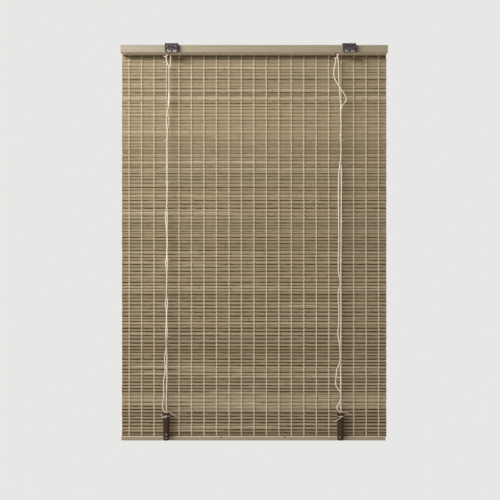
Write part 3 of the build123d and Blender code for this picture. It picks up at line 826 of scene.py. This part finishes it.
def edge_highlight(stations, angles, low_z, high_z):
    """How strong the painted highlight on a slat's upper front is: on a random stretch of some slats, and
    on the known stretches.
    """
    stretches = []
    if rng.random() < crest_share:
        middle = rng.uniform(stations[0], stations[-1])
        stretches.append((middle, rng.uniform(*crest_reach_range)))
    for z, left, right in crest_lines:
        if low_z < z <= high_z:
            stretches.append(((left + right) / 2, (right - left) / 2))
    upper_front = np.exp(-(((angles - crest_angle) / crest_width) ** 2))
    crest = np.zeros((len(stations), slat_sides))
    for middle, reach in stretches:
        along = 1 / (1 + np.exp((np.abs(stations - middle) - reach) / crest_fade))
        crest = np.maximum(crest, along[:, None] * upper_front)
    return crest


def add_slat(shape, top, bottom, gaps, lift, roundness, foot_share):
    """One split of bamboo, with rounded edges, ragged ends and its culm rings.

    Top and bottom give its edges' heights along X, which it shares with its neighbours, gaps how deep the
    painted shade in the lines over and under it is, lift how much paler it is than its kind, roundness the
    power of its front's curve, and foot_share where the painted shade at its foot begins.
    """
    left = mat_low.x + rng.uniform(*ragged_shares) * slat_end_ragged
    right = mat_high.x - rng.uniform(*ragged_shares) * slat_end_ragged
    culm_rings = culm_ring_places(left, right)
    stations = slat_places(left, right, culm_rings)
    ring = near(stations, culm_rings, culm_ring_reach)
    notch = near(stations, thread_xs, notch_reach)
    upper = top(stations)
    lower = bottom(stations)
    half = (upper - lower) / 2 + slat_overlap
    centre_y = slat_middle_y - rng.uniform(-1, 1) * slat_proud + wander(slat_wave)(stations)
    half_depth = slat_thickness / 2 + culm_ring_rise * ring + wander(slat_wave / 2)(stations)
    angles = np.linspace(0, 2 * math.pi, slat_sides, endpoint=False)[None, :]
    deep, high = slat_section(angles, roundness - notch_power * notch)
    rings = np.empty((len(stations), slat_sides, 3))
    rings[..., 0] = stations[:, None]
    rings[..., 1] = centre_y[:, None] + half_depth[:, None] * deep
    rings[..., 2] = (upper + lower)[:, None] / 2 + half[:, None] * high
    # Painted shade on the slat's upper and lower rims, for the lines between slats
    dark_from = np.where(high > 0, edge_from_share, foot_share)
    rim = np.clip((np.abs(high) - dark_from) / (1 - dark_from), 0, 1)
    edge = rim * np.where(high > 0, gaps[0], gaps[1])
    tone = np.clip(rng.gauss(between(lower.mean(), top_tone, bottom_tone), tone_spread) + lift, 0, 1)
    shade = near(stations, [x + shade_offset for x in thread_xs], shade_reach)[:, None]
    shade = shade * (shade_floor_share + (1 - shade_floor_share) * rim)
    crest = edge_highlight(stations, angles, lower.mean(), upper.mean())
    hue = rng.random()
    shape.loft(rings, edge=edge, ring=ring[:, None], tone=tone, hue=hue, shade=shade, crest=crest)


def add_yarn(shape, x, edges, slats_above, strand, top_y, bottom_y):
    """One yarn of a warp thread: over one slat and under the next, crossing its partner between."""
    points = []
    y = top_y
    for i, (z, below) in enumerate(zip(edges, edges[1:])):
        over = (slats_above + i + strand) % 2
        sway = yarn_cross if over else -yarn_cross
        face = yarn_front if over else yarn_back
        points.append((x + sway, y, z))
        for share in yarn_slat_shares:
            points.append((x + sway * (1 - 2 * share), face, z + (below - z) * share))
        y = (yarn_front + yarn_back) / 2
    points.append((x - sway, bottom_y, edges[-1]))
    add_flat_yarn(shape, points)


def make_slats(panel, edges):
    """The slats of one panel, between its edges' heights."""
    lines = [slat_line(z, z in (edges[0], edges[-1])) for z in edges]
    gaps = [groove_shade(z) for z in edges]
    for (known_panel, place), gap in known_gaps.items():
        if known_panel == panel:
            gaps[place] = gap
    slats = Shape()
    for i, (top, bottom) in enumerate(zip(lines, lines[1:])):
        lift = pale_slats.get((panel, i), 0)
        roundness = between(edges[i], top_front_power, bottom_front_power)
        in_bar = panel == "skirt" and i == len(edges) - 2
        foot_share = bar_foot_share if in_bar else edge_from_share
        add_slat(slats, top, bottom, gaps[i:i + 2], lift, roundness, foot_share)
    piece = slats.build(f"slats_{panel}_splits", bamboo)
    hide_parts(f"slats_{panel}")
    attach(piece, panel_body(panel))


def make_threads(panel, edges, slats_above):
    """The warp threads of one panel, from the fold above it to the fold below."""
    following = panels[panels.index(panel) + 1:]
    top_y = hinges[panel_body(panel)][1]
    bottom_y = hinges[panel_body(following[0])][1] if following else slat_middle_y
    threads = Shape()
    for x in thread_xs:
        for strand in (0, 1):
            add_yarn(threads, x, edges, slats_above, strand, top_y, bottom_y)
    piece = threads.build(f"threads_{panel}_yarns", yarn)
    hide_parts(f"threads_{panel}")
    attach(piece, panel_body(panel))


def make_head_loops():
    """The warp threads' loops that hang the mat from the cleat."""
    cleat_low, cleat_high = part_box("hanging_cleat")
    pivot = hinges["panel_1"]
    loops = Shape()
    for x in thread_xs:
        for sway in (-yarn_cross, yarn_cross):
            add_flat_yarn(loops, [
                (x + sway, pivot[1], pivot[2]),
                (x + sway / 2, cleat_low.y - yarn_depth / 3, (pivot[2] + cleat_high.z) / 2),
                (x - sway / 2, cleat_low.y - yarn_depth / 4, cleat_high.z),
            ])
    piece = loops.build("head_loops", yarn)
    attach(piece, "root")


def make_guide_stitches(panel):
    """Short bows of cord across a warp thread, at each height that lies on this panel."""
    low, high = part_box(f"threads_{panel}")
    stitches = Shape()
    for z, *spans in guide_rows:
        if not low.z < z < high.z:
            continue
        for i, (start, end) in zip(guide_threads, spans):
            slope = rng.uniform(-guide_slope_share, guide_slope_share) * guide_width
            points = []
            for along, rise in guide_shares:
                x = thread_xs[i] + start + (end - start) * along
                points.append((x, yarn_front - rise * guide_width, z + slope * along))
            tube(stitches, spline_points(points), guide_width, guide_width, yarn_sides)
    piece = stitches.build(f"guide_stitches_{panel}", cotton)
    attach(piece, panel_body(panel))


def make_ring_ties(panel):
    """The turns of yarn that tie a panel's lift rings to its back."""
    low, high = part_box(f"lift_rings_{panel}")
    middle_z = (low.z + high.z) / 2
    turn = np.linspace(0, 2 * math.pi, ring_tie_steps)
    reach = ring_tie_width * ring_tie_high_share
    ties = Shape()
    for x in cord_x.values():
        for shift in (-ring_tie_width, 0, ring_tie_width):
            points = np.stack([
                np.full_like(turn, x + shift),
                low.y + reach * ring_tie_deep_share * np.cos(turn),
                middle_z + reach * np.sin(turn),
            ], axis=1)
            tube(ties, points, ring_tie_width, ring_tie_width, yarn_sides)
    piece = ties.build(f"ring_ties_{panel}", yarn)
    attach(piece, panel_body(panel))


slats_above = 0
for panel in panels:
    panel_low, panel_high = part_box(f"threads_{panel}")
    panel_edges = slat_edges(panel_high.z, panel_low.z)
    make_slats(panel, panel_edges)
    make_threads(panel, panel_edges, slats_above)
    slats_above += len(panel_edges) - 1
make_head_loops()
for panel in panels[:-1]:
    make_guide_stitches(panel)
for panel in ringed:
    make_ring_ties(panel)


# Cords
def placed(route, x):
    """A route's points, from the place sideways that it is measured from."""
    return [(x + across, cord_y + out, z) for across, out, z in route]


def knot_points(centre, size_share=1):
    """An overhand knot, wider than it is high."""
    turn = np.linspace(0, 2 * math.pi, knot_steps)
    x = centre[0] + size_share * knot_wide * (np.sin(turn) + 2 * np.sin(2 * turn))
    y = centre[1] - size_share * knot_deep * np.sin(3 * turn)
    z = centre[2] + size_share * knot_high * (np.cos(turn) - 2 * np.cos(2 * turn))
    return np.stack([x, y, z], axis=1)


def make_knot(side, routes):
    """The stems under the rail, their loose ends, and the knot at the third point of the first stem."""
    x = cord_x[side]
    shape = Shape()
    for route in routes:
        add_cord(shape, spline_points(placed(route, x)), cord_diameter)
    centre = placed(routes[0], x)[2]
    add_rod(shape, knot_points(centre, small_knot_share), knot_cord * small_knot_share)
    piece = shape.build(f"{side}_knot_tied", cotton)
    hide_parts(f"{side}_knot")
    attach(piece, f"{side}_cord_top")
    return piece


def make_toggle_tie(side, routes, pegs):
    """The string round a toggle, its loose ends, the stubs in the wood, and a knot in front.

    The knot is as high as the third point of the string's first route.
    """
    low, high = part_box(f"{side}_toggle")
    x = (low.x + high.x) / 2
    radius = (high.x - low.x) / 2
    ties = Shape()
    for route in routes:
        add_cord(ties, spline_points(placed(route, x)), tie_diameter)
    knot_z = routes[0][2][2]
    centre = (x, cord_y - radius - tie_knot_cord * tie_knot_rise_share, knot_z)
    add_rod(ties, knot_points(centre, small_knot_share), tie_knot_cord)
    for across, z in pegs:
        face = cord_y - math.sqrt(radius ** 2 - across ** 2)
        add_rod(ties, [(x + across, face + share * peg_diameter, z) for share in peg_shares], peg_diameter)
    piece = ties.build(f"{side}_toggle_tie", string)
    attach(piece, f"{side}_pull")
    return piece


def make_strand(side, name, route):
    """One stretch of a strand, and the points along its middle."""
    points = spline_points(placed(route, cord_x[side]))
    shape = Shape()
    add_cord(shape, points, cord_diameter)
    piece = shape.build(f"{name}_twine", cotton)
    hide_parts(name)
    return piece, points


def make_cord(side, top_routes, drop_routes, knot_routes, tie_routes, pegs):
    """Knot, two strands and toggle tie of one pull cord."""
    knot = make_knot(side, knot_routes)
    tie = make_toggle_tie(side, tie_routes, pegs)
    for strand, top_route, drop_route in zip("ab", top_routes, drop_routes):
        top, points = make_strand(side, f"{side}_strand_{strand}_top", top_route)
        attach(top, f"{side}_cord_top")
        drop, points = make_strand(side, f"{side}_strand_{strand}_drop", drop_route)
        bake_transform(drop)


def make_lift_cord(side):
    """The taut cord behind the mat, with its stopper knot."""
    low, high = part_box(f"{side}_lift_cord")
    x = cord_x[side]
    y = (low.y + high.y) / 2
    stop_z = low.z + (high.x - low.x) / 2
    heights = np.linspace(high.z, stop_z, lift_stations)
    points = np.stack([np.full_like(heights, x), np.full_like(heights, y), heights], axis=1)
    shape = Shape()
    add_cord(shape, points, cord_diameter)
    add_rod(shape, knot_points((x, y, stop_z)), knot_cord)
    piece = shape.build(f"{side}_lift_twine", cotton)
    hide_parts(f"{side}_lift_cord")
    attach(piece, "root")
    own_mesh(piece)


make_cord("left", left_top_routes, left_drop_routes, left_knot_routes, left_tie_routes, left_pegs)
make_cord("right", right_top_routes, right_drop_routes, right_knot_routes, right_tie_routes, right_pegs)
for side in cord_x:
    make_lift_cord(side)


# Bottom bar
def make_bar_nails():
    """Heads of the two nails that hold the mat in the bar."""
    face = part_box("bottom_bar")[0].y
    heads = Shape()
    for x, z in bar_nail_places:
        points = [(x, face + share * bar_nail_diameter, z) for share in bar_nail_shares]
        add_rod(heads, points, bar_nail_diameter)
    piece = heads.build("bar_nail_heads", dark_steel)
    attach(piece, "skirt")


make_bar_nails()

# Finishes of the pieces that keep their own shape
dress(rail_wood, "head_batten")
dress(cleat_wood, "hanging_cleat")
dress(bar_wood, "bottom_bar")
dress(dark_steel, "bracket_left", "bracket_right")
dress(bright_steel, "spring_lip_left", "spring_lip_right")
dress(rivet_steel, "bracket_rivets")
dress(nail_steel, "cleat_nails")
dress(brass, "cord_eyelets")
dress(pin_plastic, "guide_pins")
dress(toggle_wood, "left_toggle", "right_toggle")
dress(cotton, "left_cord_in_rail", "right_cord_in_rail")
dress(ring_plastic, *(f"lift_rings_{panel}" for panel in ringed))


# Camera, light and floor
def make_camera():
    data = bpy.data.cameras.new("camera")
    data.lens = camera_lens
    camera = new_object("camera", data)
    camera.location = camera_place
    camera.rotation_euler = (math.pi / 2, 0, 0)
    bpy.context.scene.camera = camera


def make_lamp(name, place, target, size, power, colour):
    data = bpy.data.lights.new(name, "AREA")
    data.shape = "ELLIPSE"
    data.size, data.size_y = size
    data.energy = power
    data.color = colour
    lamp = new_object(name, data)
    lamp.location = place
    direction = np.array(target) - np.array(place)
    lamp.rotation_euler = Vector(direction).to_track_quat("-Z", "Y").to_euler()


def make_world():
    """Even light from all round, and a pale ground where the camera or a gloss sees past the blind."""
    world = bpy.data.worlds.new("studio")
    world.use_nodes = True
    tree = world.node_tree
    ambient = tree.nodes["Background"]
    ambient.inputs["Color"].default_value = (*ambient_colour, 1)
    ambient.inputs["Strength"].default_value = ambient_strength
    ground = tree.nodes.new("ShaderNodeBackground")
    ground.inputs["Color"].default_value = (*ground_colour, 1)
    path = tree.nodes.new("ShaderNodeLightPath")
    seen = path.outputs["Is Camera Ray"]
    for ray in ("Is Glossy Ray", "Is Transmission Ray"):
        either = tree.nodes.new("ShaderNodeMath")
        either.operation = "MAXIMUM"
        tree.links.new(seen, either.inputs[0])
        tree.links.new(path.outputs[ray], either.inputs[1])
        seen = either.outputs["Value"]
    mix = tree.nodes.new("ShaderNodeMixShader")
    tree.links.new(seen, mix.inputs["Fac"])
    tree.links.new(ambient.outputs["Background"], mix.inputs[1])
    tree.links.new(ground.outputs["Background"], mix.inputs[2])
    tree.links.new(mix.outputs["Shader"], tree.nodes["World Output"].inputs["Surface"])
    bpy.context.scene.world = world


def make_floor():
    """A pale round floor, below where the toggles reach when the blind is drawn up."""
    mesh = bpy.data.meshes.new("floor")
    turn = np.linspace(0, 2 * math.pi, floor_sides, endpoint=False)
    across = floor_radius * np.cos(turn)
    out = floor_radius * np.sin(turn)
    rim = np.stack([across, out, np.full_like(turn, floor_z)], axis=1)
    mesh.from_pydata(rim.tolist(), [], [list(range(floor_sides))])
    finish = Finish("floor", 0.8)
    finish.link(finish.ramp(finish.noise((3, 3, 3)), [(0.3, 0.72), (0.7, 0.78)]), "Base Color")
    mesh.materials.append(finish.material)
    new_object("floor", mesh)


make_camera()
for lamp in lamps:
    make_lamp(*lamp)
make_world()
make_floor()
bpy.context.scene.view_settings.view_transform = "Standard"
